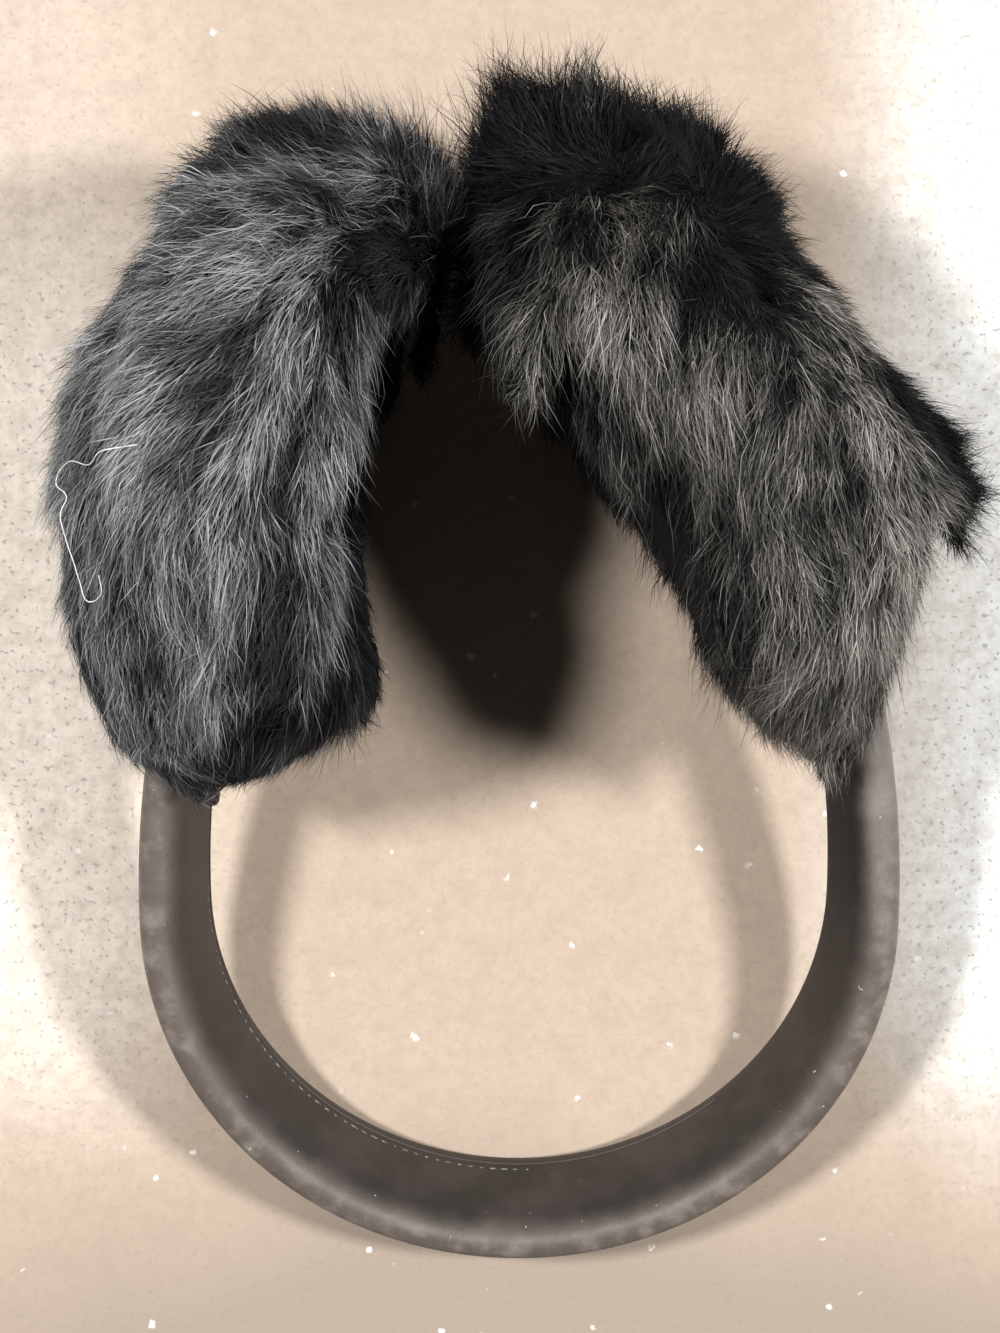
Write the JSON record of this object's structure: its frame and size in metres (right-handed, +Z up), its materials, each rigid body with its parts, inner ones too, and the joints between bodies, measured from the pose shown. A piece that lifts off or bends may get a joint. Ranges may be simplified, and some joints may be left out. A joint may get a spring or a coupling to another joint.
{
  "type": "fur earmuffs",
  "caption": "Fur earmuffs lying on their side: deep long-haired ear pads leaning toe to toe on a padded leather headband, with plush linings over the ears.",
  "frame": {"origin": "on the floor, under the middle of the bounding box", "axes": "+Z up from the floor that the earmuffs lie on, +Y from the crown of the headband to the toes of the ear pads, +X to the right seen from above with the toes away from the viewer"},
  "size_m": [0.1824, 0.237, 0.1327],
  "materials": {
    "leather": "smooth, soft matt sheen, faintly mottled",
    "fur": "long near-black hair with grey glints over short wool",
    "plush": "short black pile"
  },
  "bodies": {
    "root": {"headband": "leather", "left_fur": "fur", "right_fur": "fur", "left_ear_lining": "plush", "right_ear_lining": "plush"}
  },
  "joints": []
}
